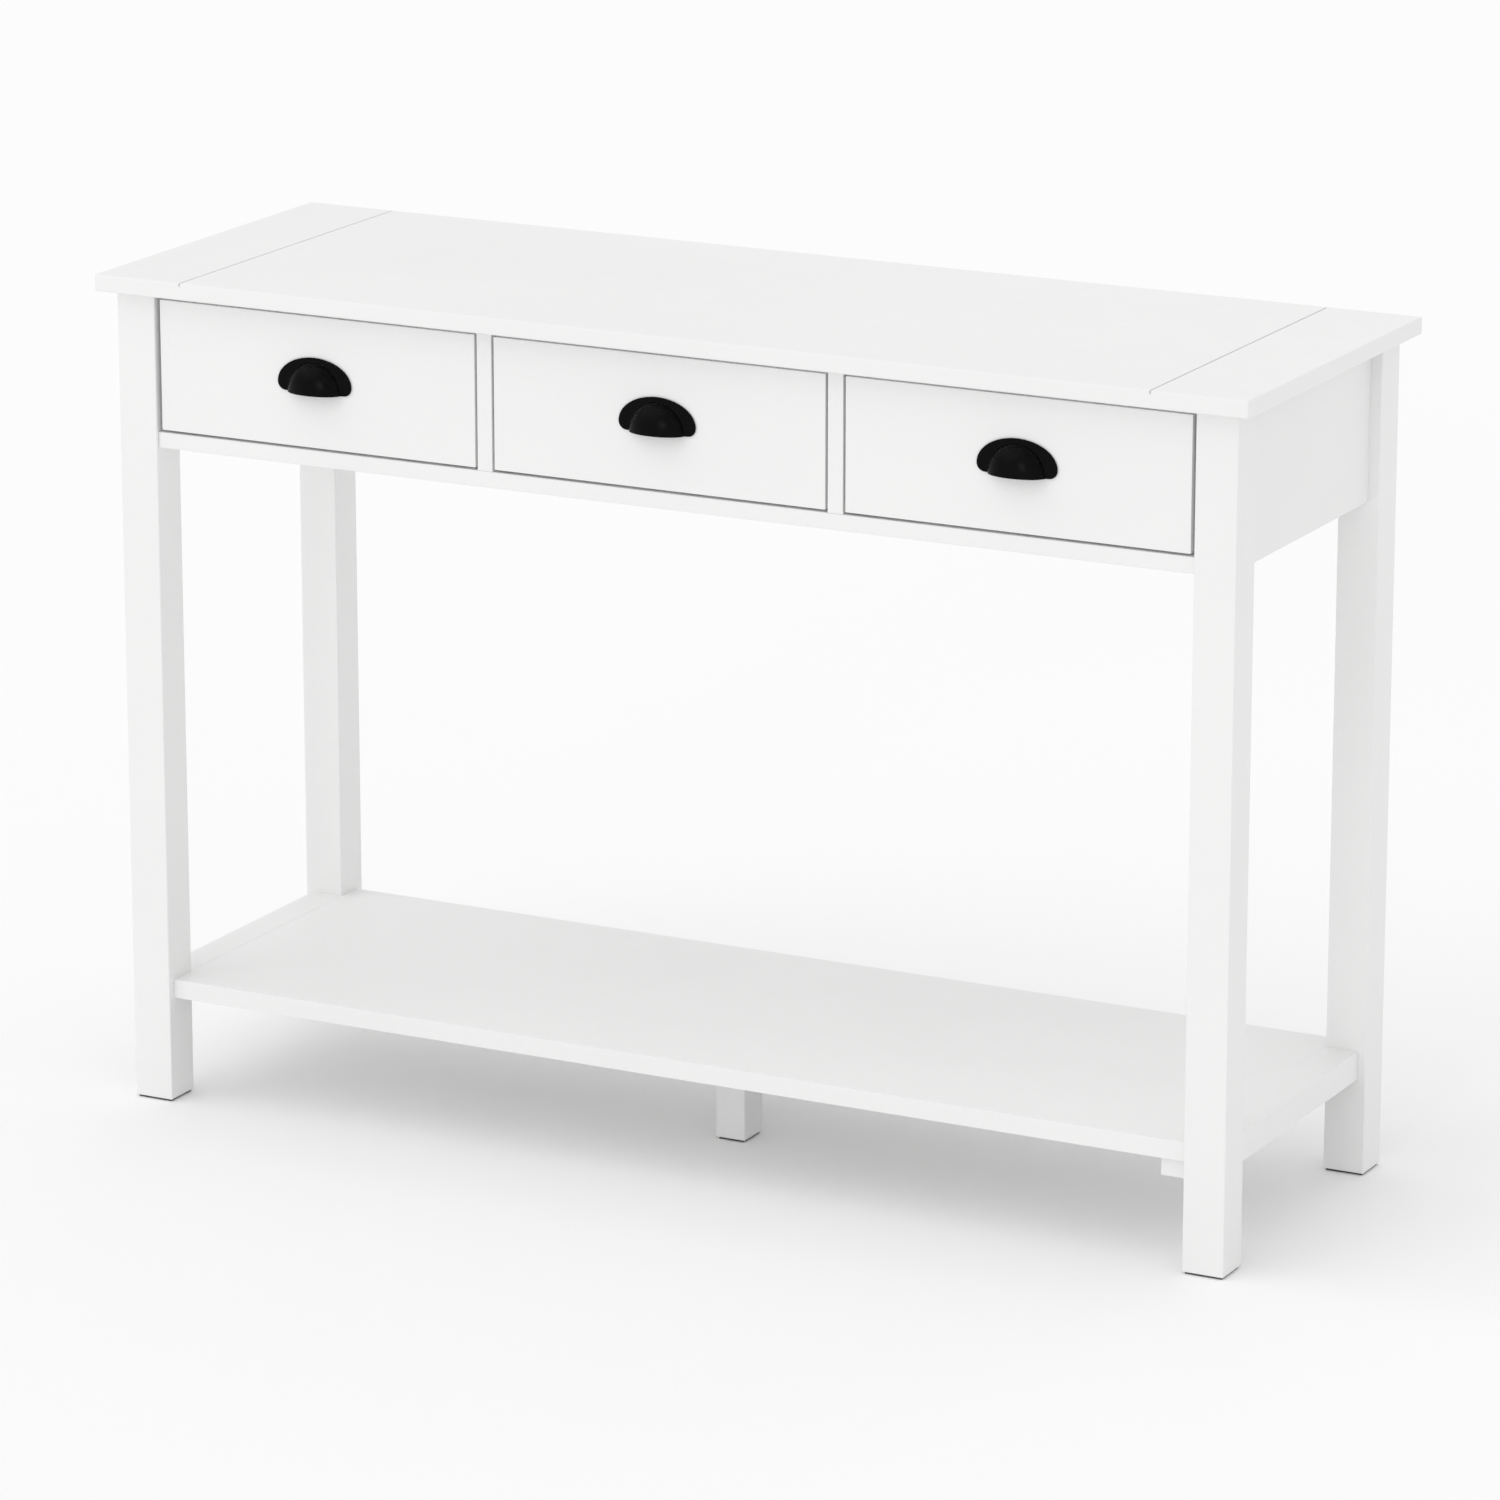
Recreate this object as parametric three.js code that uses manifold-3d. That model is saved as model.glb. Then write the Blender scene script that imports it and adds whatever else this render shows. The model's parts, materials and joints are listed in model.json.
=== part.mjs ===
// A white console table: a boarded top on four square legs, three inset drawers on
// roller runners with black cup pulls, and a low shelf with a foot under its middle.
// Millimetres, +Z up, X along the length, front towards -Y, origin on the floor under the middle.

import * as THREE from 'three';
import { mergeVertices } from 'three/addons/utils/BufferGeometryUtils.js';
import Module from 'manifold-3d';

const wasm = await Module();
wasm.setup();

// ---------------------------------------------------------------- driving dimensions

const HEIGHT = 800;
const TOP = { length: 1160, depth: 390, thickness: 16, overhang: 15 };
const GROOVE = { fromEnd: 92, width: 2, depth: 2 };
const LEG = 40;
const PAD = { height: 2, inset: 2 };

const BOARD = 15;                 // carcass boards: aprons, rail, stretcher and dividers
const CASE_HEIGHT = 146;          // apron and front rail, from under the top to their lower edge
const APRON_INSET = 11;           // behind the outer faces of the legs
const CASE_RECESS = 3;            // front rail and dividers, behind the leg fronts
const RAIL_DEPTH = 60;            // front rail and top stretcher, front to back
const STRETCHER_GAP = 2;          // behind the closed drawer fronts
const BATTEN = { height: 40, aboveRail: 3 };

const BAYS = 3;
const FRONT = { thickness: 16, recess: 3, gap: 2.5, legGap: 4.4, topGap: 5.5 };
const BOX = { side: 12, height: 94, length: 290, aboveRail: 15, floor: 4, floorAbove: 6 };
const SLOT = { depth: 5, play: 0.2 };   // groove that holds the drawer floor

const RUNNER = { length: 280, gap: 12.5, sheet: 1.2, setback: 2 };
const CABINET_RUNNER = { height: 29, flange: 10, lip: 7, aboveRail: 8 };
const DRAWER_RUNNER = { rise: 13.2, flange: 8.5, under: 10 };

const PULL = { width: 78, height: 33, reach: 16, plate: 2, wall: 2, corner: 8, shoulder: 8 };
const CUP = { halfWidth: 28, rise: 29 };
const PULL_ABOVE_RAIL = 54.5;     // lower edge of the pull

const SHELF = { top: 120, thickness: 18, frontInset: 8, rearInset: 12 };
const LOW_RAIL = { width: 32, height: 27 };
const CLEAT = { width: 28, height: 18, frontInset: { left: 50, right: 6 }, rearInset: 8 };
const CENTRE_FOOT = { width: 30, depth: 36, forward: 20 };
const BRACKET = { length: 30, drop: 20, sheet: 1.5, sideReach: 13, rearReach: 20 };

// ---------------------------------------------------------------- places worked out from them

const underTop = HEIGHT - TOP.thickness;
const legX = TOP.length / 2 - TOP.overhang;        // outer faces of the legs
const legY = TOP.depth / 2 - TOP.overhang;
const innerX = legX - LEG;                         // inner faces of the legs
const innerY = legY - LEG;

const caseBottom = underTop - CASE_HEIGHT;
const railTop = caseBottom + BOARD;
const caseFront = -legY + CASE_RECESS;
const apronInnerX = legX - APRON_INSET - BOARD;
const apronInnerY = legY - APRON_INSET - BOARD;

const bayWidth = (2 * innerX - (BAYS - 1) * BOARD) / BAYS;
const bayPitch = bayWidth + BOARD;

const frontFace = -legY + FRONT.recess;
const frontBack = frontFace + FRONT.thickness;
const frontBottom = railTop + FRONT.gap;
const frontTop = underTop - FRONT.topGap;

const boxHalf = bayWidth / 2 - RUNNER.gap;         // outer faces of the drawer sides
const boxInner = boxHalf - BOX.side;
const boxBottom = railTop + BOX.aboveRail;
const boxTop = boxBottom + BOX.height;
const boxBack = frontBack + BOX.length;
const floorBottom = boxBottom + BOX.floorAbove;
const floorTop = floorBottom + BOX.floor;

const shelfBottom = SHELF.top - SHELF.thickness;

// ---------------------------------------------------------------- materials

const finish = (color, roughness, metalness = 0) => () =>
  new THREE.MeshStandardMaterial({ color, roughness, metalness });

const whitePaint = finish(0xf2f2f0, 0.42);
const whiteFoil = finish(0xececea, 0.5);
const hardboard = finish(0xe2e0dc, 0.6);
const blackPaint = finish(0x0d0d0e, 0.35, 0.3);
const whiteSteel = finish(0xe8e8e6, 0.35, 0.2);
const zincSteel = finish(0xb4b8bc, 0.35, 0.9);
const darkFelt = finish(0x3a3a3a, 0.9);

// ---------------------------------------------------------------- helpers

const table = new THREE.Group();
table.name = 'console_table';

function addMesh(parent, name, geometry, material) {
  const mesh = new THREE.Mesh(geometry, material());
  mesh.name = name;
  parent.add(mesh);
  return mesh;
}

// A board between two opposite corners, each given as [x, y, z].
function addBoard(parent, name, low, high, material) {
  const size = high.map((value, axis) => value - low[axis]);
  const mesh = addMesh(parent, name, new THREE.BoxGeometry(...size), material);
  mesh.position.set(...high.map((value, axis) => (value + low[axis]) / 2));
  return mesh;
}

function outline(points) {
  return new THREE.Shape(points.map(([u, v]) => new THREE.Vector2(u, v)));
}

function extrude(shape, depth, curveSegments = 12) {
  return new THREE.ExtrudeGeometry(shape, { depth, bevelEnabled: false, curveSegments });
}

// An outline of [x, z] points, carried along Y from yLow to yHigh.
function alongY(points, yLow, yHigh) {
  return extrude(outline(points), yHigh - yLow).rotateX(Math.PI / 2).translate(0, yHigh, 0);
}

// An outline of [y, z] points, carried along X from xLow to xHigh.
function alongX(points, xLow, xHigh) {
  return extrude(outline(points), xHigh - xLow)
    .rotateX(Math.PI / 2)
    .rotateZ(Math.PI / 2)
    .translate(xLow, 0, 0);
}

// The same outline on the other side of the YZ plane.
const mirrored = (points) => points.map(([u, v]) => [-u, v]).reverse();

function toSolid(geometry) {
  const bare = geometry.clone();
  bare.deleteAttribute('normal');
  bare.deleteAttribute('uv');
  const welded = mergeVertices(bare, 1e-4);
  const vertProperties = new Float32Array(welded.attributes.position.array);
  const triVerts = new Uint32Array(welded.index.array);
  return new wasm.Manifold(new wasm.Mesh({ numProp: 3, vertProperties, triVerts }));
}

function toGeometry(solid) {
  const mesh = solid.getMesh();
  const geometry = new THREE.BufferGeometry();
  geometry.setAttribute('position', new THREE.BufferAttribute(mesh.vertProperties, 3));
  geometry.setIndex(new THREE.BufferAttribute(mesh.triVerts, 1));
  geometry.computeVertexNormals();
  return geometry;
}

function boxBetween(low, high) {
  const size = high.map((value, axis) => value - low[axis]);
  const centre = high.map((value, axis) => (value + low[axis]) / 2);
  return new THREE.BoxGeometry(...size).translate(...centre);
}

// ---------------------------------------------------------------- top

// The top is one panel with a shallow V-groove across it near each end.
function makeTop() {
  const half = TOP.length / 2;
  const grooveX = half - GROOVE.fromEnd;
  const notch = (x) => [
    [x + GROOVE.width / 2, HEIGHT],
    [x, HEIGHT - GROOVE.depth],
    [x - GROOVE.width / 2, HEIGHT],
  ];
  const section = [
    [-half, underTop],
    [half, underTop],
    [half, HEIGHT],
    ...notch(grooveX),
    ...notch(-grooveX),
    [-half, HEIGHT],
  ];
  addMesh(table, 'top_panel', alongY(section, -TOP.depth / 2, TOP.depth / 2), whitePaint);
}

// ---------------------------------------------------------------- legs and floor pads

function makeLegs() {
  for (const [row, ySide] of [['front', -1], ['rear', 1]]) {
    for (const [side, xSide] of [['left', -1], ['right', 1]]) {
      const x = xSide * (legX - LEG / 2);
      const y = ySide * (legY - LEG / 2);
      const half = LEG / 2;
      const padHalf = half - PAD.inset;
      addBoard(table, `leg_${row}_${side}`, [x - half, y - half, PAD.height],
        [x + half, y + half, underTop], whitePaint);
      addBoard(table, `floor_pad_${row}_${side}`, [x - padHalf, y - padHalf, 0],
        [x + padHalf, y + padHalf, PAD.height], darkFelt);
    }
  }
}

// ---------------------------------------------------------------- drawer case

function makeCase() {
  for (const [side, xSide] of [['left', -1], ['right', 1]]) {
    const outer = legX - APRON_INSET;
    const span = (near, far) => [near, far].map((x) => x * xSide).sort((a, b) => a - b);
    const [apronLow, apronHigh] = span(apronInnerX, outer);
    addBoard(table, `apron_${side}`, [apronLow, -innerY, caseBottom],
      [apronHigh, innerY, underTop], whitePaint);
    const [battenLow, battenHigh] = span(innerX, apronInnerX);
    const battenBottom = railTop + BATTEN.aboveRail;
    addBoard(table, `runner_batten_${side}`, [battenLow, -innerY, battenBottom],
      [battenHigh, innerY, battenBottom + BATTEN.height], whiteFoil);
  }
  addBoard(table, 'apron_rear', [-innerX, apronInnerY, caseBottom],
    [innerX, apronInnerY + BOARD, underTop], whitePaint);
  addBoard(table, 'front_rail', [-innerX, caseFront, caseBottom],
    [innerX, caseFront + RAIL_DEPTH, railTop], whitePaint);

  const stretcherFront = frontBack + STRETCHER_GAP;
  const stretcherBack = stretcherFront + RAIL_DEPTH;
  const stretcherBottom = underTop - BOARD;
  addBoard(table, 'top_stretcher', [-innerX, stretcherFront, stretcherBottom],
    [innerX, stretcherBack, underTop], whiteFoil);

  // Each divider stands on the front rail and is notched round the top stretcher.
  const divider = [
    [caseFront, railTop],
    [apronInnerY, railTop],
    [apronInnerY, underTop],
    [stretcherBack, underTop],
    [stretcherBack, stretcherBottom],
    [stretcherFront, stretcherBottom],
    [stretcherFront, underTop],
    [caseFront, underTop],
  ];
  for (const [side, xSide] of [['left', -1], ['right', 1]]) {
    const x = xSide * bayPitch / 2;
    addMesh(table, `divider_${side}`, alongX(divider, x - BOARD / 2, x + BOARD / 2), whitePaint);
  }
}

// Small steel angles that hold the top down on the aprons.
function makeBrackets() {
  const angle = (reach) => [
    [0, underTop - BRACKET.drop],
    [BRACKET.sheet, underTop - BRACKET.drop],
    [BRACKET.sheet, underTop - BRACKET.sheet],
    [reach, underTop - BRACKET.sheet],
    [reach, underTop],
    [0, underTop],
  ];
  const half = BRACKET.length / 2;
  const right = addMesh(table, 'top_bracket_right',
    alongY(mirrored(angle(BRACKET.sideReach)), -half, half), zincSteel);
  right.position.x = apronInnerX;
  const left = addMesh(table, 'top_bracket_left',
    alongY(angle(BRACKET.sideReach), -half, half), zincSteel);
  left.position.x = -apronInnerX;
  for (const [side, xSide] of [['left', -1], ['right', 1]]) {
    const x = xSide * bayPitch;
    const rear = addMesh(table, `top_bracket_rear_${side}`,
      alongX(mirrored(angle(BRACKET.rearReach)), x - half, x + half), zincSteel);
    rear.position.y = apronInnerY;
  }
}

// ---------------------------------------------------------------- shelf and its supports

function makeShelf() {
  const shelfFront = -legY + SHELF.frontInset;
  const shelfBack = legY - SHELF.rearInset;
  addBoard(table, 'shelf', [-innerX, shelfFront, shelfBottom],
    [innerX, shelfBack, SHELF.top], whitePaint);

  for (const [side, xSide] of [['left', -1], ['right', 1]]) {
    const span = (near, far) => [near, far].map((x) => x * xSide).sort((a, b) => a - b);
    const [railLow, railHigh] = span(innerX, innerX + LOW_RAIL.width);
    addBoard(table, `low_rail_${side}`, [railLow, -innerY, SHELF.top - LOW_RAIL.height],
      [railHigh, innerY, SHELF.top], whitePaint);
    const [cleatLow, cleatHigh] = span(innerX - CLEAT.width, innerX);
    addBoard(table, `shelf_cleat_${side}`,
      [cleatLow, shelfFront + CLEAT.frontInset[side], shelfBottom - CLEAT.height],
      [cleatHigh, shelfBack - CLEAT.rearInset, shelfBottom], whitePaint);
  }

  const half = [CENTRE_FOOT.width / 2, CENTRE_FOOT.depth / 2];
  const y = -CENTRE_FOOT.forward;
  addBoard(table, 'centre_foot', [-half[0], y - half[1], PAD.height],
    [half[0], y + half[1], shelfBottom], whitePaint);
  const padHalf = half.map((value) => value - PAD.inset);
  addBoard(table, 'floor_pad_centre', [-padHalf[0], y - padHalf[1], 0],
    [padHalf[0], y + padHalf[1], PAD.height], darkFelt);
}

// ---------------------------------------------------------------- runners

// Both runners are drawn for the right-hand side of a bay, from its centre line.
function cabinetRunnerSection() {
  const wall = bayWidth / 2;
  const web = wall - RUNNER.sheet;
  const bottom = railTop + CABINET_RUNNER.aboveRail;
  const top = bottom + CABINET_RUNNER.height;
  return [
    [wall - CABINET_RUNNER.flange, bottom],
    [wall, bottom],
    [wall, top],
    [wall - CABINET_RUNNER.lip, top],
    [wall - CABINET_RUNNER.lip, top - RUNNER.sheet],
    [web, top - RUNNER.sheet],
    [web, bottom + RUNNER.sheet],
    [wall - CABINET_RUNNER.flange, bottom + RUNNER.sheet],
  ];
}

function drawerRunnerSection() {
  const bottom = boxBottom - RUNNER.sheet;
  const top = bottom + DRAWER_RUNNER.rise;
  const plate = boxHalf + RUNNER.sheet;
  return [
    [boxHalf - DRAWER_RUNNER.under, bottom],
    [plate, bottom],
    [plate, top - RUNNER.sheet],
    [boxHalf + DRAWER_RUNNER.flange, top - RUNNER.sheet],
    [boxHalf + DRAWER_RUNNER.flange, top],
    [boxHalf, top],
    [boxHalf, boxBottom],
    [boxHalf - DRAWER_RUNNER.under, boxBottom],
  ];
}

function addRunnerPair(parent, kind, bay, section) {
  const yLow = frontBack + RUNNER.setback;
  const yHigh = yLow + RUNNER.length;
  addMesh(parent, `${kind}_runner_${bay}_right`, alongY(section, yLow, yHigh), whiteSteel);
  addMesh(parent, `${kind}_runner_${bay}_left`, alongY(mirrored(section), yLow, yHigh), whiteSteel);
}

// ---------------------------------------------------------------- cup pull

// A half-round plate with a hollow quarter-round cup on it, open below.
// It is drawn with its back on the plane y = 0 and its lower edge at z = 0.
function cupPullGeometry() {
  const half = PULL.width / 2;
  const plate = new THREE.Shape();
  plate.moveTo(-half + PULL.corner, 0);
  plate.lineTo(half - PULL.corner, 0);
  plate.absarc(half - PULL.corner, PULL.corner, PULL.corner, -Math.PI / 2, 0);
  plate.absellipse(0, PULL.shoulder, half, PULL.height - PULL.shoulder, 0, Math.PI);
  plate.absarc(-half + PULL.corner, PULL.corner, PULL.corner, Math.PI, 1.5 * Math.PI);
  const plateSolid = toSolid(extrude(plate, PULL.plate, 10).rotateX(Math.PI / 2));

  const cup = (inset) => toSolid(new THREE.SphereGeometry(1, 32, 24)
    .scale(CUP.halfWidth - inset, PULL.reach - inset, CUP.rise - inset));
  const inFront = toSolid(boxBetween([-half, -2 * PULL.reach, 0], [half, 0, 2 * PULL.height]));
  const outerCup = cup(0).intersect(inFront);
  return toGeometry(plateSolid.add(outerCup).subtract(cup(PULL.wall)));
}

// ---------------------------------------------------------------- drawers

// The drawer front has a groove in its back face for the front edge of the drawer floor.
function drawerFrontGeometry(leftGap, rightGap) {
  const left = -bayWidth / 2 + leftGap;
  const right = bayWidth / 2 - rightGap;
  const slotHalf = boxInner + SLOT.depth + SLOT.play;
  const board = boxBetween([left, frontFace, frontBottom], [right, frontBack, frontTop]);
  const slot = boxBetween([-slotHalf, frontBack - SLOT.depth - SLOT.play, floorBottom - SLOT.play],
    [slotHalf, frontBack + SLOT.depth, floorTop + SLOT.play]);
  return toGeometry(toSolid(board).subtract(toSolid(slot)));
}

function drawerSideSection() {
  const slotX = boxInner + SLOT.depth + SLOT.play;
  return [
    [boxInner, boxBottom],
    [boxHalf, boxBottom],
    [boxHalf, boxTop],
    [boxInner, boxTop],
    [boxInner, floorTop + SLOT.play],
    [slotX, floorTop + SLOT.play],
    [slotX, floorBottom - SLOT.play],
    [boxInner, floorBottom - SLOT.play],
  ];
}

function makeDrawer(bay, x, leftGap, rightGap) {
  const drawer = new THREE.Group();
  drawer.position.x = x;
  table.add(drawer);

  addMesh(drawer, `drawer_front_${bay}`, drawerFrontGeometry(leftGap, rightGap), whitePaint);
  const side = drawerSideSection();
  addMesh(drawer, `drawer_side_${bay}_right`, alongY(side, frontBack, boxBack), whiteFoil);
  addMesh(drawer, `drawer_side_${bay}_left`, alongY(mirrored(side), frontBack, boxBack), whiteFoil);
  addBoard(drawer, `drawer_back_${bay}`, [-boxInner, boxBack - BOX.side, floorTop + SLOT.play],
    [boxInner, boxBack, boxTop], whiteFoil);
  const floorHalf = boxInner + SLOT.depth;
  addBoard(drawer, `drawer_floor_${bay}`, [-floorHalf, frontBack - SLOT.depth, floorBottom],
    [floorHalf, boxBack, floorTop], hardboard);
  addRunnerPair(drawer, 'drawer', bay, drawerRunnerSection());

  const pull = addMesh(drawer, `cup_pull_${bay}`, cupPullGeometry(), blackPaint);
  pull.position.set(0, frontFace, railTop + PULL_ABOVE_RAIL);
}

function makeBays() {
  ['left', 'middle', 'right'].forEach((bay, index) => {
    const x = (index - (BAYS - 1) / 2) * bayPitch;
    const leftGap = index === 0 ? FRONT.legGap : FRONT.gap;
    const rightGap = index === BAYS - 1 ? FRONT.legGap : FRONT.gap;
    makeDrawer(bay, x, leftGap, rightGap);
    const cabinet = new THREE.Group();
    cabinet.position.x = x;
    table.add(cabinet);
    addRunnerPair(cabinet, 'cabinet', bay, cabinetRunnerSection());
  });
}

makeTop();
makeLegs();
makeCase();
makeBrackets();
makeShelf();
makeBays();

export default table;
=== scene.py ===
import json
import math

import bmesh
import bpy
from mathutils import Matrix, Vector


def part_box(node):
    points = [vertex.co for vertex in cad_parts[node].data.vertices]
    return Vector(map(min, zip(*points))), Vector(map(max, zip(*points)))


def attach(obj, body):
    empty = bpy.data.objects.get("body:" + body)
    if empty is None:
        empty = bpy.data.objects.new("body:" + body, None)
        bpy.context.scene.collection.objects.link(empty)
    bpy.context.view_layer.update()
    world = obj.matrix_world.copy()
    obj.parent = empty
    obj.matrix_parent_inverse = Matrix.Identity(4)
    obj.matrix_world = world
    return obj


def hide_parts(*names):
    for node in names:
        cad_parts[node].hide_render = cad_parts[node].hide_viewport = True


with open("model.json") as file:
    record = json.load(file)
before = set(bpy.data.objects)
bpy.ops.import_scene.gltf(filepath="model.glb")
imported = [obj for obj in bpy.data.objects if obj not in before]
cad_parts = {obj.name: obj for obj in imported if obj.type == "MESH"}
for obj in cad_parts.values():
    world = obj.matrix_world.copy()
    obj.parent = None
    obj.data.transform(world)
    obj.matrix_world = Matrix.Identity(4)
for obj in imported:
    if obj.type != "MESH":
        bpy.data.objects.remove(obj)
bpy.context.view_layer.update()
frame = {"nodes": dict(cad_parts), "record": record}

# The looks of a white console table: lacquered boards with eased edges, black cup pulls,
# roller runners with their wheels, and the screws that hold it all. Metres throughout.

MM = 0.001
MERGE = 0.002 * MM                 # points of a drawn shape nearer than this are one
scene = bpy.context.scene

BAYS = ("left", "middle", "right")
SIDES = ("left", "right")
OUTWARD = {"left": -1, "right": 1}

# ---------------------------------------------------------------- camera, floor and light

CAMERA_PLACE = (2.928, -5.642, 2.132)
CAMERA_YAW = math.radians(27.42)
CAMERA_DIP = math.radians(15.49)
CAMERA_LENS = 170.9
SENSOR = 36.0


def make_camera():
    data = bpy.data.cameras.new("camera")
    data.lens = CAMERA_LENS
    data.sensor_width = SENSOR
    data.clip_end = 200
    camera = bpy.data.objects.new("camera", data)
    camera.location = CAMERA_PLACE
    look = Vector((-math.sin(CAMERA_YAW) * math.cos(CAMERA_DIP),
                   math.cos(CAMERA_YAW) * math.cos(CAMERA_DIP),
                   -math.sin(CAMERA_DIP)))
    camera.rotation_mode = "QUATERNION"
    camera.rotation_quaternion = look.to_track_quat("-Z", "Y")
    scene.collection.objects.link(camera)
    scene.camera = camera


# Directions are degrees from the front towards the left, then degrees of elevation.
SKY_STRENGTH = 0.85
BACKDROP_STRENGTH = 0.98
LAMPS = {              # strength, direction, spread
    "key": (0.48, 45, 50, 60),
    "front": (0.20, -4, 14, 14),
    "back": (0.15, 180, 30, 60),
}
FLOOR_SHADE = 0.97
FLOOR_RADIUS = 60.0


def direction(azimuth, elevation):
    turn, rise = math.radians(azimuth), math.radians(elevation)
    return Vector((-math.sin(turn) * math.cos(rise), -math.cos(turn) * math.cos(rise),
                   math.sin(rise)))


def make_lamp(name, strength, azimuth, elevation, spread):
    data = bpy.data.lights.new(name, "SUN")
    data.energy = strength
    data.angle = math.radians(spread)
    lamp = bpy.data.objects.new(name, data)
    lamp.rotation_mode = "QUATERNION"
    lamp.rotation_quaternion = direction(azimuth, elevation).to_track_quat("Z", "Y")
    scene.collection.objects.link(lamp)


def make_light():
    world = bpy.data.worlds.new("studio")
    world.use_nodes = True
    background = world.node_tree.nodes["Background"]
    background.inputs["Color"].default_value = (1, 1, 1, 1)
    background.inputs["Strength"].default_value = SKY_STRENGTH
    nodes, links = world.node_tree.nodes, world.node_tree.links
    backdrop = nodes.new("ShaderNodeBackground")
    backdrop.inputs["Color"].default_value = (1, 1, 1, 1)
    backdrop.inputs["Strength"].default_value = BACKDROP_STRENGTH
    seen = nodes.new("ShaderNodeLightPath")
    mix = nodes.new("ShaderNodeMixShader")
    links.new(seen.outputs["Is Camera Ray"], mix.inputs[0])
    links.new(background.outputs[0], mix.inputs[1])
    links.new(backdrop.outputs[0], mix.inputs[2])
    links.new(mix.outputs[0], nodes["World Output"].inputs["Surface"])
    scene.world = world
    for name, settings in LAMPS.items():
        make_lamp(name, *settings)
    scene.view_settings.view_transform = "Standard"
    scene.view_settings.look = "None"


def make_floor():
    # A wide pale sheet, clear from below so that the underside of the table can be seen.
    bm = bmesh.new()
    bmesh.ops.create_circle(bm, cap_ends=True, segments=64, radius=FLOOR_RADIUS)
    mesh = bpy.data.meshes.new("floor")
    bm.to_mesh(mesh)
    bm.free()
    floor = bpy.data.objects.new("floor", mesh)
    material = bpy.data.materials.new("floor")
    material.use_nodes = True
    nodes, links = material.node_tree.nodes, material.node_tree.links
    nodes.clear()
    out = nodes.new("ShaderNodeOutputMaterial")
    mix = nodes.new("ShaderNodeMixShader")
    matt = nodes.new("ShaderNodeBsdfDiffuse")
    matt.inputs["Color"].default_value = (FLOOR_SHADE, FLOOR_SHADE, FLOOR_SHADE, 1)
    clear = nodes.new("ShaderNodeBsdfTransparent")
    side = nodes.new("ShaderNodeNewGeometry")
    links.new(side.outputs["Backfacing"], mix.inputs[0])
    links.new(matt.outputs[0], mix.inputs[1])
    links.new(clear.outputs[0], mix.inputs[2])
    links.new(mix.outputs[0], out.inputs["Surface"])
    mesh.materials.append(material)
    scene.collection.objects.link(floor)


# ---------------------------------------------------------------- materials


class Shader:
    """A Principled material whose colour, roughness and relief come from noise on the object."""

    def __init__(self, name, **sockets):
        self.material = bpy.data.materials.new(name)
        self.material.use_nodes = True
        self.nodes = self.material.node_tree.nodes
        self.links = self.material.node_tree.links
        self.bsdf = self.nodes["Principled BSDF"]
        for socket, value in sockets.items():
            self.bsdf.inputs[socket.replace("_", " ")].default_value = value
        self.place = self.nodes.new("ShaderNodeTexCoord").outputs["Object"]

    def stretched(self, scale):
        mapping = self.nodes.new("ShaderNodeMapping")
        mapping.inputs["Scale"].default_value = scale
        self.links.new(self.place, mapping.inputs["Vector"])
        return mapping.outputs["Vector"]

    def noise(self, scale, detail=2.0, roughness=0.5, stretch=(1, 1, 1)):
        texture = self.nodes.new("ShaderNodeTexNoise")
        texture.inputs["Scale"].default_value = scale
        texture.inputs["Detail"].default_value = detail
        texture.inputs["Roughness"].default_value = roughness
        self.links.new(self.stretched(stretch), texture.inputs["Vector"])
        return texture.outputs["Fac"]

    def cells(self, scale, stretch=(1, 1, 1)):
        texture = self.nodes.new("ShaderNodeTexVoronoi")
        texture.inputs["Scale"].default_value = scale
        self.links.new(self.stretched(stretch), texture.inputs["Vector"])
        return texture.outputs["Color"]

    def spread(self, value, low, high, start=0.3, stop=0.7):
        """Maps a texture's middle range onto low to high."""
        node = self.nodes.new("ShaderNodeMapRange")
        node.inputs["From Min"].default_value = start
        node.inputs["From Max"].default_value = stop
        node.inputs["To Min"].default_value = low
        node.inputs["To Max"].default_value = high
        self.links.new(value, node.inputs["Value"])
        return node.outputs["Result"]

    def blend(self, value, first, second):
        node = self.nodes.new("ShaderNodeMix")
        node.data_type = "RGBA"
        node.inputs["A"].default_value = (*first, 1)
        node.inputs["B"].default_value = (*second, 1)
        self.links.new(value, node.inputs["Factor"])
        return node.outputs["Result"]

    def colour(self, value, first, second):
        self.links.new(self.blend(self.spread(value, 0, 1), first, second),
                       self.bsdf.inputs["Base Color"])

    def roughness(self, value, low, high):
        self.links.new(self.spread(value, low, high), self.bsdf.inputs["Roughness"])

    def relief(self, *layers):
        """Each layer is (texture value, height in metres); the layers are stacked."""
        normal = None
        for value, height in layers:
            bump = self.nodes.new("ShaderNodeBump")
            bump.inputs["Distance"].default_value = height
            self.links.new(value, bump.inputs["Height"])
            if normal is not None:
                self.links.new(normal, bump.inputs["Normal"])
            normal = bump.outputs["Normal"]
        self.links.new(normal, self.bsdf.inputs["Normal"])


def grey(value, warmth=0.0):
    return (value + warmth, value, value - warmth)


def white_lacquer():
    # Sprayed satin lacquer: faint orange peel over a slow unevenness in level and gloss.
    shader = Shader("white_lacquer", Specular_IOR_Level=0.3)
    shader.colour(shader.noise(3.5, 3), grey(0.850, 0.002), grey(0.866, 0.002))
    shader.roughness(shader.noise(28, 4), 0.36, 0.50)
    shader.relief((shader.noise(420, 2), 0.00003), (shader.noise(60, 2), 0.00006))
    return shader.material


def white_foil():
    # Foil with a fine pearl grain on the hidden and inner boards.
    shader = Shader("white_foil")
    shader.colour(shader.noise(9, 3), grey(0.80, 0.004), grey(0.83, 0.004))
    shader.roughness(shader.noise(150, 3), 0.45, 0.60)
    shader.relief((shader.noise(900, 3, 0.6), 0.00005))
    return shader.material


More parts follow.
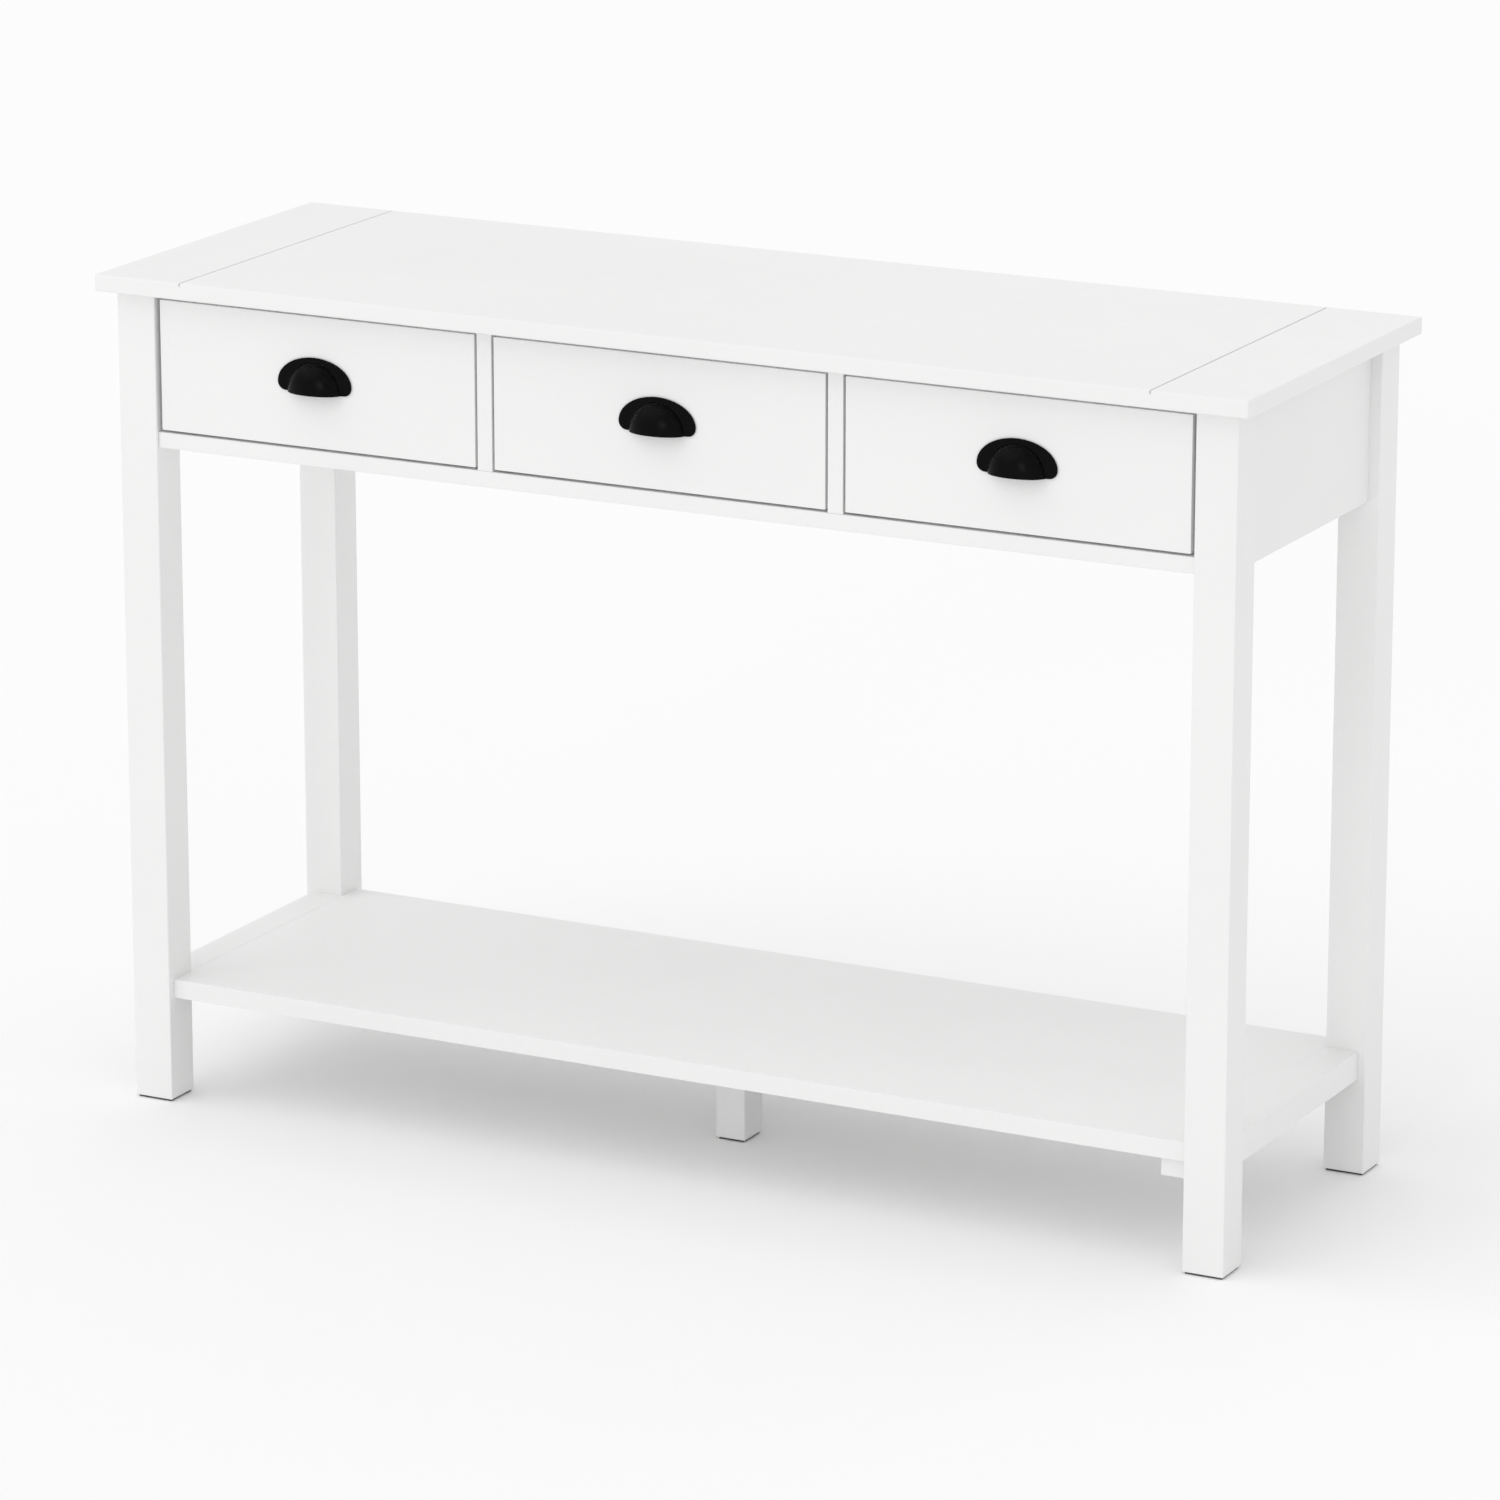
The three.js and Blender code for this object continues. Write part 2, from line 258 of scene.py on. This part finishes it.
def white_hardboard():
    # Pressed fibre with a thin white print, a little mottled.
    shader = Shader("white_hardboard")
    shader.colour(shader.noise(160, 5, 0.7, (1, 0.35, 1)), grey(0.70, 0.010), grey(0.78, 0.008))
    shader.roughness(shader.noise(90, 3), 0.55, 0.72)
    shader.relief((shader.noise(700, 4, 0.7), 0.00008))
    return shader.material


def black_powder_coat():
    # Baked powder: a tight pebble, slightly glossier in patches.
    shader = Shader("black_powder_coat", Specular_IOR_Level=0.065)
    shader.colour(shader.noise(120, 3), grey(0.001), grey(0.002))
    shader.roughness(shader.noise(220, 3), 0.24, 0.30)
    shader.relief((shader.noise(1500, 2), 0.00003), (shader.noise(350, 2), 0.00003))
    return shader.material


def white_epoxy():
    # Epoxy-coated steel, with long faint rub marks where the rollers run.
    shader = Shader("white_epoxy", Coat_Weight=0.2, Coat_Roughness=0.15)
    shader.colour(shader.noise(45, 4, 0.6, (1, 0.06, 1)), grey(0.72), grey(0.80))
    shader.roughness(shader.noise(70, 3, 0.5, (1, 0.1, 1)), 0.25, 0.42)
    shader.relief((shader.noise(500, 2), 0.00003))
    return shader.material


def zinc_steel():
    # Zinc plate with a soft spangle.
    shader = Shader("zinc_steel", Metallic=1.0)
    shader.colour(shader.cells(260), (0.52, 0.54, 0.56), (0.68, 0.70, 0.72))
    shader.roughness(shader.noise(300, 4), 0.28, 0.45)
    shader.relief((shader.noise(900, 2), 0.00002))
    return shader.material


def white_nylon():
    # Moulded wheels with turning marks.
    shader = Shader("white_nylon", Subsurface_Weight=0.05, Subsurface_Scale=0.001)
    shader.colour(shader.noise(200, 2), grey(0.74, 0.006), grey(0.80, 0.006))
    shader.roughness(shader.noise(240, 2), 0.38, 0.52)
    shader.relief((shader.noise(1200, 2), 0.00002))
    return shader.material


def dark_felt():
    # Pressed felt: matted fibres and a soft sheen.
    shader = Shader("dark_felt", Sheen_Weight=0.3, Sheen_Roughness=0.6)
    shader.colour(shader.noise(800, 4, 0.7), grey(0.035), grey(0.075))
    shader.roughness(shader.noise(300, 2), 0.85, 0.98)
    shader.relief((shader.noise(1600, 4, 0.8), 0.0003))
    return shader.material


MATERIALS = {
    "white_paint": white_lacquer(),
    "white_foil": white_foil(),
    "hardboard": white_hardboard(),
    "black_metal": black_powder_coat(),
    "white_steel": white_epoxy(),
    "zinc_steel": zinc_steel(),
    "floor_pad": dark_felt(),
}
NYLON = white_nylon()

# ---------------------------------------------------------------- pieces


def finish_piece(name, bm, slot, body, replaces=(), material=None):
    """Turns a bmesh, already in place in the row frame, into a piece that rides on a body."""
    bmesh.ops.recalc_face_normals(bm, faces=bm.faces)
    for face in bm.faces:
        face.smooth = True
    mesh = bpy.data.meshes.new(name)
    bm.to_mesh(mesh)
    bm.free()
    piece = bpy.data.objects.new(name, mesh)
    scene.collection.objects.link(piece)
    mesh.materials.append(material or MATERIALS[slot])
    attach(piece, body)
    if replaces:
        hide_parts(*replaces)
    return piece


def even_shading(piece, sharp_from=None):
    """Keeps the wide faces flat in the shading and leaves the turn to the narrow ones."""
    if sharp_from is not None:
        bm = bmesh.new()
        bm.from_mesh(piece.data)
        for edge in bm.edges:
            edge.smooth = len(edge.link_faces) == 2 and edge.calc_face_angle() < sharp_from
        bm.to_mesh(piece.data)
        bm.free()
    modifier = piece.modifiers.new("even_shading", "WEIGHTED_NORMAL")
    modifier.weight = 100
    modifier.keep_sharp = sharp_from is not None


def rounded_block(low, high, bevel):
    bm = bmesh.new()
    bmesh.ops.create_cube(bm, size=1)
    size = [b - a for a, b in zip(low, high)]
    centre = [(a + b) / 2 for a, b in zip(low, high)]
    bmesh.ops.scale(bm, vec=size, verts=bm.verts)
    bmesh.ops.translate(bm, vec=centre, verts=bm.verts)
    bmesh.ops.bevel(bm, geom=list(bm.edges) + list(bm.verts), offset=bevel, segments=1,
                    profile=0.5, affect="EDGES")
    return bm


EASING = {                       # edge radius of the boards that keep their CAD shape
    "leg": 1.3 * MM,
    "apron": 0.8 * MM,
    "front_rail": 0.8 * MM,
    "divider": 0.8 * MM,
    "shelf_cleat": 1.0 * MM,
    "shelf": 0.5 * MM,
    "low_rail": 0.5 * MM,
    "centre_foot": 1.2 * MM,
    "floor_pad": 0.6 * MM,
    "drawer_front": 0.7 * MM,
    "drawer_side": 0.8 * MM,
    "drawer_back": 0.8 * MM,
    "drawer_floor": 0.3 * MM,
    "top_stretcher": 0.5 * MM,
    "runner_batten": 0.5 * MM,
    "top_bracket": 0.3 * MM,
    "cabinet_runner": 0.35 * MM,
    "drawer_runner": 0.35 * MM,
}
CREASE = math.radians(35)


def ease(node, radius):
    """Rounds the edges of a CAD board, whose own mesh stays as it is."""
    weld = node.modifiers.new("weld", "WELD")
    weld.merge_threshold = 0.01 * MM
    bevel = node.modifiers.new("eased_edges", "BEVEL")
    bevel.width = radius
    bevel.segments = 3
    bevel.limit_method = "ANGLE"
    bevel.angle_limit = CREASE
    bevel.miter_outer = "MITER_ARC"
    even_shading(node)


def dress_nodes():
    slots = {s["node"]: s["material_slot"] for s in frame["record"]["subparts"]}
    for name, node in frame["nodes"].items():
        node.data.materials.clear()
        node.data.materials.append(MATERIALS[slots[name]])
        for face in node.data.polygons:
            face.use_smooth = True
        kind = max((k for k in EASING if name.startswith(k)), key=len, default=None)
        if kind:
            ease(node, EASING[kind])


# ---------------------------------------------------------------- top

TOP_RADIUS = 1.8 * MM
ROUND_STEPS = 6
GROOVE_FROM_END = 92 * MM
GROOVE_DEPTH = 3.0 * MM
GROOVE_PROFILE = (                 # millimetres across, and share of the depth
    (-1.05, 0.0), (-0.92, 0.02), (-0.83, 0.08), (-0.80, 1.0),
    (0.80, 1.0), (0.83, 0.08), (0.92, 0.02), (1.05, 0.0),
)


def quarter(steps):
    """The angles from nought to a right angle, in even steps."""
    return [math.pi / 2 * i / steps for i in range(steps + 1)]


def make_top():
    """Sweeps a rounded section along the board: it shrinks at the ends and dips at the grooves."""
    low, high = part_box("top_panel")
    end = [(TOP_RADIUS * (1 - math.sin(t)), TOP_RADIUS * (1 - math.cos(t)))
           for t in reversed(quarter(ROUND_STEPS))]
    stations = [(low.x + along, inset, 0) for along, inset in end]  # x, shrinkage, dip
    for centre in (low.x + GROOVE_FROM_END, high.x - GROOVE_FROM_END):
        stations += [(centre + offset * MM, 0, share * GROOVE_DEPTH)
                     for offset, share in GROOVE_PROFILE]
    stations += [(high.x - along, inset, 0) for along, inset in reversed(end)]
    bm = bmesh.new()
    rings = []
    for x, inset, dip in stations:
        ring = []
        for cy, cz, start in ((high.y, high.z, 0), (low.y, high.z, 1), (low.y, low.z, 2),
                              (high.y, low.z, 3)):
            centre_y = cy - math.copysign(TOP_RADIUS, cy - (low.y + high.y) / 2)
            centre_z = cz - math.copysign(TOP_RADIUS, cz - (low.z + high.z) / 2)
            for t in quarter(ROUND_STEPS):
                angle = t + start * math.pi / 2
                y = centre_y + (TOP_RADIUS - inset) * math.cos(angle)
                z = centre_z + (TOP_RADIUS - inset) * math.sin(angle)
                ring.append(bm.verts.new((x, y, min(z, high.z - dip))))
        rings.append(ring)
    for ring, following in zip(rings, rings[1:]):
        for i in range(len(ring)):
            j = (i + 1) % len(ring)
            bm.faces.new((ring[i], ring[j], following[j], following[i]))
    bm.faces.new(rings[0])
    bm.faces.new(list(reversed(rings[-1])))
    bmesh.ops.remove_doubles(bm, verts=bm.verts, dist=MERGE)
    bmesh.ops.dissolve_degenerate(bm, edges=bm.edges, dist=MERGE)
    piece = finish_piece("top_panel_board", bm, "white_paint", "frame", ["top_panel"])
    even_shading(piece, sharp_from=CREASE)


# ---------------------------------------------------------------- cup pulls

PULL_WALL = 1.8 * MM
PULL_PLATE = 1.8 * MM
PULL_EDGE = 0.6 * MM
PULL_CORNER = 8 * MM
CUP_HALF_WIDTH = 28 * MM
CUP_TOP_MARGIN = 4 * MM          # plate above the cup
CUP_FILLET = 1.4 * MM
PULL_SCREW_SPACING = 64 * MM
PULL_LIP = 0.4 * MM                # radius left on the open rim
CORNER_STEPS, ARCH_STEPS, CUP_STEPS, EDGE_STEPS = 12, 96, 16, 4


def plate_outline(half, height, corner):
    """Points round the plate from its lower right corner to its lower left one, as (x, z)."""
    right = []
    for i in range(CORNER_STEPS):
        t = math.pi / 2 * (i / CORNER_STEPS - 1)
        right.append((half - corner + corner * math.cos(t), corner + corner * math.sin(t)))
    arch = []
    for i in range(ARCH_STEPS + 1):
        t = math.pi * i / ARCH_STEPS
        arch.append((half * math.cos(t), corner + (height - corner) * math.sin(t)))
    left = [(-x, z) for x, z in reversed(right)]
    return right + arch + left


def pull_section(edge, angle, reach, half, rise):
    """One ring of the pull, from the inside of the cup's crown, round the plate, to its outside.

    edge is the plate's outline point and angle the matching place round the cup."""
    c, s = math.cos(angle), math.sin(angle)

    def on_cup(a, b, depth, t):
        return (a * c * math.cos(t), b * s * math.cos(t), depth * math.sin(t))

    ring = []
    for i in range(CUP_STEPS + 1):
        t = math.pi / 2 * (1 - i / CUP_STEPS)
        ring.append(on_cup(half - PULL_WALL, rise - PULL_WALL, reach - PULL_WALL, t))
    base = (half * c, rise * s)
    toward = Vector((edge[0] - base[0], edge[1] - base[1]))
    width = toward.length
    toward.normalize()
    for share in (0.5, 1.0):
        d = (width - PULL_EDGE) * share
        ring.append((base[0] + toward.x * d, base[1] + toward.y * d, 0))
    for t in reversed(quarter(EDGE_STEPS)):
        d = width - PULL_EDGE + PULL_EDGE * math.sin(t)
        ring.append((base[0] + toward.x * d, base[1] + toward.y * d,
                     PULL_PLATE - PULL_EDGE + PULL_EDGE * math.cos(t)))
    for share in (0.5, 0.0):
        d = CUP_FILLET + (width - PULL_EDGE - CUP_FILLET) * share
        ring.append((base[0] + toward.x * d, base[1] + toward.y * d, PULL_PLATE))
    lift = math.asin(min(1.0, (PULL_PLATE + CUP_FILLET) / reach))
    start = on_cup(half, rise, reach, lift)
    foot = ring[-1]
    for t in quarter(EDGE_STEPS)[1:-1]:
        shares = (math.sin(t), math.sin(t), 1 - math.cos(t))
        ring.append(tuple(f + (e - f) * share for f, e, share in zip(foot, start, shares)))
    for i in range(CUP_STEPS + 1):
        t = lift + (math.pi / 2 - lift) * i / CUP_STEPS
        ring.append(on_cup(half, rise, reach, t))
    return ring


def make_pull(bay):
    node = f"cup_pull_{bay}"
    low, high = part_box(node)
    width, reach, height = high - low
    outline = plate_outline(width / 2, height, PULL_CORNER)
    origin = Vector(((low.x + high.x) / 2, high.y, low.z))
    bm = bmesh.new()
    rings = []
    for i, edge in enumerate(outline):
        angle = math.pi * i / (len(outline) - 1)
        section = pull_section(edge, angle, reach, CUP_HALF_WIDTH, height - CUP_TOP_MARGIN)
        rings.append([bm.verts.new(origin + Vector((x, -d, z))) for x, z, d in section])
    for ring, following in zip(rings, rings[1:]):
        for i in range(len(ring) - 1):
            bm.faces.new((ring[i], ring[i + 1], following[i + 1], following[i]))
    bmesh.ops.remove_doubles(bm, verts=bm.verts, dist=0.005 * MM)
    bmesh.ops.holes_fill(bm, edges=[e for e in bm.edges if e.is_boundary], sides=0)
    piece = finish_piece(f"cup_pull_{bay}_shell", bm, "black_metal", f"drawer_{bay}", [node])
    lip = piece.modifiers.new("rounded_lip", "BEVEL")
    lip.width = PULL_LIP
    lip.segments = 3
    lip.limit_method = "ANGLE"
    lip.angle_limit = math.radians(50)


# ---------------------------------------------------------------- wheels and screws


def turned(profile, segments=32):
    """A closed solid turned about Z from (radius, height) points that start and end on the axis."""
    bm = bmesh.new()
    first = [bm.verts.new((r, 0, z)) for r, z in profile]
    edges = [bm.edges.new(pair) for pair in zip(first, first[1:])]
    bmesh.ops.spin(bm, geom=first + edges, cent=(0, 0, 0), axis=(0, 0, 1),
                   angle=2 * math.pi, steps=segments, use_merge=True)
    bmesh.ops.remove_doubles(bm, verts=bm.verts, dist=0.001 * MM)
    return bm


def facing(way):
    return Vector(way).to_track_quat("Z", "Y").to_matrix().to_4x4()


def copies(template, spots):
    """One bmesh that holds the template, drawn along +Z, at each (place, way it faces)."""
    mesh = bpy.data.meshes.new("template")
    template.to_mesh(mesh)
    template.free()
    bm = bmesh.new()
    for place, way in spots:
        start = len(bm.verts)
        bm.from_mesh(mesh)
        bm.verts.ensure_lookup_table()
        bmesh.ops.transform(bm, matrix=Matrix.Translation(place) @ facing(way),
                            verts=bm.verts[start:])
    bpy.data.meshes.remove(mesh)
    return bm


def apply_modifiers(piece):
    bpy.context.view_layer.update()
    depsgraph = bpy.context.evaluated_depsgraph_get()
    mesh = bpy.data.meshes.new_from_object(piece.evaluated_get(depsgraph))
    piece.modifiers.clear()
    piece.data = mesh


def screw_head(radius, height):
    """A low domed head with a cross recess, standing on the plane z = 0.

    Its proportions are shares of the radius and of the height."""
    profile = [(0, 0), (radius * 0.96, 0), (radius, height * 0.15)]
    for t in quarter(6)[1:-1]:
        profile.append((radius * math.cos(t), height * (0.15 + 0.85 * math.sin(t))))
    profile.append((radius * 0.12, height))
    profile.append((0, height))
    bm = turned(profile, 24)
    mesh = bpy.data.meshes.new("screw_head")
    bm.to_mesh(mesh)
    bm.free()
    head = bpy.data.objects.new("screw_head", mesh)
    scene.collection.objects.link(head)
    slot_half = radius * 0.13
    slot_reach = radius * 0.58
    bars = []
    for across, along in ((slot_reach, slot_half), (slot_half, slot_reach)):
        bar_mesh = bpy.data.meshes.new("slot_bar")
        bar = rounded_block((-across, -along, height * 0.4), (across, along, height * 1.4),
                            slot_half * 0.3)
        bar.to_mesh(bar_mesh)
        bar.free()
        cutter = bpy.data.objects.new("slot_bar", bar_mesh)
        scene.collection.objects.link(cutter)
        bars.append(cutter)
        cut = head.modifiers.new("slot", "BOOLEAN")
        cut.operation = "DIFFERENCE"
        cut.solver = "EXACT"
        cut.object = cutter
    apply_modifiers(head)
    made = bmesh.new()
    made.from_mesh(head.data)
    for thing in (*bars, head):
        bpy.data.objects.remove(thing)
    return made


def add_screws(name, body, spots, head):
    bm = copies(screw_head(*head), spots)
    piece = finish_piece(name, bm, "zinc_steel", body)
    for face in piece.data.polygons:
        face.use_smooth = False
    return piece


SCREW_HEADS = {                    # radius and height
    "runner": (3.0 * MM, 1.5 * MM),
    "bracket": (3.0 * MM, 1.5 * MM),
    "frame": (3.6 * MM, 1.6 * MM),
    "pull": (4.0 * MM, 2.2 * MM),
    "drawer_back": (3.2 * MM, 0.6 * MM),
    "drawer_floor": (3.0 * MM, 1.2 * MM),
}
CABINET_RUNNER_SCREWS = (37 * MM, 133 * MM, 229 * MM)    # from the front end of the runner
DRAWER_RUNNER_SCREWS = (20 * MM, 140 * MM, 250 * MM)
DRAWER_RUNNER_SCREW_INSET = 5 * MM
CLEAT_SCREWS = (0.12, 0.5, 0.88)                         # shares of a length or a height
STRETCHER_SCREWS = (0.06, 0.27, 0.5, 0.73, 0.94)
DRAWER_BACK_SCREWS = (0.3, 0.8)
DRAWER_FLOOR_SCREWS = (0.15, 0.5, 0.85)
REAR_CAPS = (0.3, 0.75)
BRACKET_SHEET = 1.5 * MM
BRACKET_SCREW_HEIGHT = 7 * MM
CAP_RADIUS, CAP_HEIGHT = 5.5 * MM, 1.0 * MM
RIVET_RADIUS, RIVET_HEIGHT = 2.1 * MM, 0.7 * MM
WHEEL_RADIUS = 7.5 * MM
WHEEL_WIDTH = 6 * MM
WHEEL_EDGE = 0.7 * MM
WHEEL_DISH = 0.8 * MM
WHEEL_CLEARANCE = 0.1 * MM
WHEEL_WASHER = 0.6 * MM
SHEET = 1.2 * MM
DRAWER_PLATE = 11.2 * MM           # from the inner edge of a drawer runner to its wheel side
REAR_WHEEL_FROM_END = 7 * MM


def wheel():
    """A nylon wheel from z = 0 to its width, with a ring-shaped dish in its outer face."""
    r, w, edge = WHEEL_RADIUS, WHEEL_WIDTH, WHEEL_EDGE
    dish = w - WHEEL_DISH
    profile = [(0, 0), (r - edge, 0), (r - edge * 0.3, edge * 0.3), (r, edge),
               (r, w - edge), (r - edge * 0.3, w - edge * 0.3), (r - edge, w),
               (r * 0.72, w), (r * 0.68, dish), (r * 0.42, dish), (r * 0.40, w),
               (0, w)]
    return turned(profile, 40)


def rivet():
    profile = [(0, 0), (RIVET_RADIUS, 0)]
    for t in quarter(5)[1:-1]:
        profile.append((RIVET_RADIUS * math.cos(t), RIVET_HEIGHT * math.sin(t)))
    profile.append((0, RIVET_HEIGHT))
    return turned(profile, 24)


def runner_wheels(bay):
    """One wheel at the front of each cabinet runner and one at the back of each drawer runner."""
    fixed_wheels, moving_wheels, fixed_rivets, moving_rivets = [], [], [], []
    for side in SIDES:
        out = OUTWARD[side]
        fixed_low, fixed_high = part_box(f"cabinet_runner_{bay}_{side}")
        low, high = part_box(f"drawer_runner_{bay}_{side}")
        wall = fixed_high.x if out > 0 else fixed_low.x
        x = wall - out * (SHEET + WHEEL_WASHER)
        y = fixed_low.y + WHEEL_RADIUS
        z = high.z - SHEET - WHEEL_CLEARANCE - WHEEL_RADIUS
        fixed_wheels.append((Vector((x, y, z)), (-out, 0, 0)))
        fixed_rivets.append((Vector((x - out * WHEEL_WIDTH, y, z)), (-out, 0, 0)))
        x = (low.x if out > 0 else high.x) + out * (DRAWER_PLATE + WHEEL_WASHER * 2)
        y = high.y - REAR_WHEEL_FROM_END
        z = fixed_low.z + SHEET + WHEEL_CLEARANCE + WHEEL_RADIUS
        moving_wheels.append((Vector((x, y, z)), (out, 0, 0)))
        moving_rivets.append((Vector((x + out * WHEEL_WIDTH, y, z)), (out, 0, 0)))
    for name, body, spots, rivets in (
            (f"cabinet_wheels_{bay}", "frame", fixed_wheels, fixed_rivets),
            (f"drawer_wheels_{bay}", f"drawer_{bay}", moving_wheels, moving_rivets)):
        piece = finish_piece(name, copies(wheel(), spots), "white_steel", body, material=NYLON)
        even_shading(piece)
        finish_piece(f"{name}_rivets", copies(rivet(), rivets), "zinc_steel", body)


def runner_screws(bay):
    fixed, moving = [], []
    for side in SIDES:
        out = OUTWARD[side]
        low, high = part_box(f"cabinet_runner_{bay}_{side}")
        face = (high.x if out > 0 else low.x) - out * SHEET
        for along in CABINET_RUNNER_SCREWS:
            fixed.append((Vector((face, low.y + along, (low.z + high.z) / 2)), (-out, 0, 0)))
        low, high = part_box(f"drawer_runner_{bay}_{side}")
        x = (low.x if out > 0 else high.x) + out * DRAWER_RUNNER_SCREW_INSET
        for along in DRAWER_RUNNER_SCREWS:
            moving.append((Vector((x, low.y + along, low.z)), (0, 0, -1)))
    head = SCREW_HEADS["runner"]
    add_screws(f"cabinet_runner_screws_{bay}", "frame", fixed, head)
    add_screws(f"drawer_runner_screws_{bay}", f"drawer_{bay}", moving, head)


def drawer_screws(bay):
    """Screws through the front into the pull, through the sides into the back, and up through
    the floor into the back."""
    body = f"drawer_{bay}"
    low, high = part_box(f"drawer_front_{bay}")
    pull_low, pull_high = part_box(f"cup_pull_{bay}")
    middle = (pull_low.x + pull_high.x) / 2
    height = pull_low.z + PULL_CORNER
    spots = [(Vector((middle + s * PULL_SCREW_SPACING / 2, high.y, height)), (0, 1, 0))
             for s in (-1, 1)]
    add_screws(f"pull_screws_{bay}", body, spots, SCREW_HEADS["pull"])
    back_low, back_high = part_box(f"drawer_back_{bay}")
    sides = []
    for side in SIDES:
        low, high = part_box(f"drawer_side_{bay}_{side}")
        out = OUTWARD[side]
        face = high.x if out > 0 else low.x
        for share in DRAWER_BACK_SCREWS:
            z = back_low.z + (back_high.z - back_low.z) * share
            sides.append((Vector((face, (back_low.y + back_high.y) / 2, z)), (out, 0, 0)))
    add_screws(f"drawer_back_screws_{bay}", body, sides, SCREW_HEADS["drawer_back"])
    floor_low, floor_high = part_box(f"drawer_floor_{bay}")
    floor = [(Vector((floor_low.x + (floor_high.x - floor_low.x) * share,
                      (back_low.y + back_high.y) / 2, floor_low.z)), (0, 0, -1))
             for share in DRAWER_FLOOR_SCREWS]
    add_screws(f"drawer_floor_screws_{bay}", body, floor, SCREW_HEADS["drawer_floor"])


def frame_screws():
    spots = []
    for side in SIDES:
        low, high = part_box(f"shelf_cleat_{side}")
        for share in CLEAT_SCREWS:
            y = low.y + (high.y - low.y) * share
            spots.append((Vector(((low.x + high.x) / 2, y, low.z)), (0, 0, -1)))
        low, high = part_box(f"divider_{side}")
        rail_low, rail_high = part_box("front_rail")
        spots.append((Vector(((low.x + high.x) / 2, (rail_low.y + rail_high.y) / 2, rail_low.z)),
                      (0, 0, -1)))
    low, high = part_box("top_stretcher")
    for share in STRETCHER_SCREWS:
        x = low.x + (high.x - low.x) * share
        spots.append((Vector((x, (low.y + high.y) / 2, low.z)), (0, 0, -1)))
    add_screws("frame_screws", "frame", spots, SCREW_HEADS["frame"])


def bracket_screws():
    spots = []
    for side in SIDES:
        out = OUTWARD[side]
        low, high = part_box(f"top_bracket_{side}")
        face = (high.x if out > 0 else low.x) - out * BRACKET_SHEET
        y = (low.y + high.y) / 2
        spots.append((Vector((face, y, low.z + BRACKET_SCREW_HEIGHT)), (-out, 0, 0)))
        spots.append((Vector(((low.x + high.x) / 2, y, high.z - BRACKET_SHEET)), (0, 0, -1)))
        low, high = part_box(f"top_bracket_rear_{side}")
        x = (low.x + high.x) / 2
        y, z = high.y - BRACKET_SHEET, low.z + BRACKET_SCREW_HEIGHT
        spots.append((Vector((x, y, z)), (0, -1, 0)))
        y, z = (low.y + high.y) / 2, high.z - BRACKET_SHEET
        spots.append((Vector((x, y, z)), (0, 0, -1)))
    add_screws("top_bracket_screws", "frame", spots, SCREW_HEADS["bracket"])


def rear_caps():
    """White caps over the screws that run through the rear apron into the dividers."""
    low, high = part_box("apron_rear")
    profile = [(0, 0), (CAP_RADIUS, 0)]
    for t in quarter(6)[1:-1]:
        profile.append((CAP_RADIUS - CAP_HEIGHT * (1 - math.cos(t)), CAP_HEIGHT * math.sin(t)))
    profile.append((0, CAP_HEIGHT))
    spots = []
    for side in SIDES:
        post_low, post_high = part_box(f"divider_{side}")
        for share in REAR_CAPS:
            spots.append((Vector(((post_low.x + post_high.x) / 2, high.y,
                                  low.z + (high.z - low.z) * share)), (0, 1, 0)))
    piece = finish_piece("rear_screw_caps", copies(turned(profile, 32), spots),
                         "white_paint", "frame", material=NYLON)
    even_shading(piece)


# ---------------------------------------------------------------- assembly

make_camera()
make_light()
make_floor()
dress_nodes()
make_top()
for bay_name in BAYS:
    make_pull(bay_name)
    runner_wheels(bay_name)
    runner_screws(bay_name)
    drawer_screws(bay_name)
frame_screws()
bracket_screws()
rear_caps()
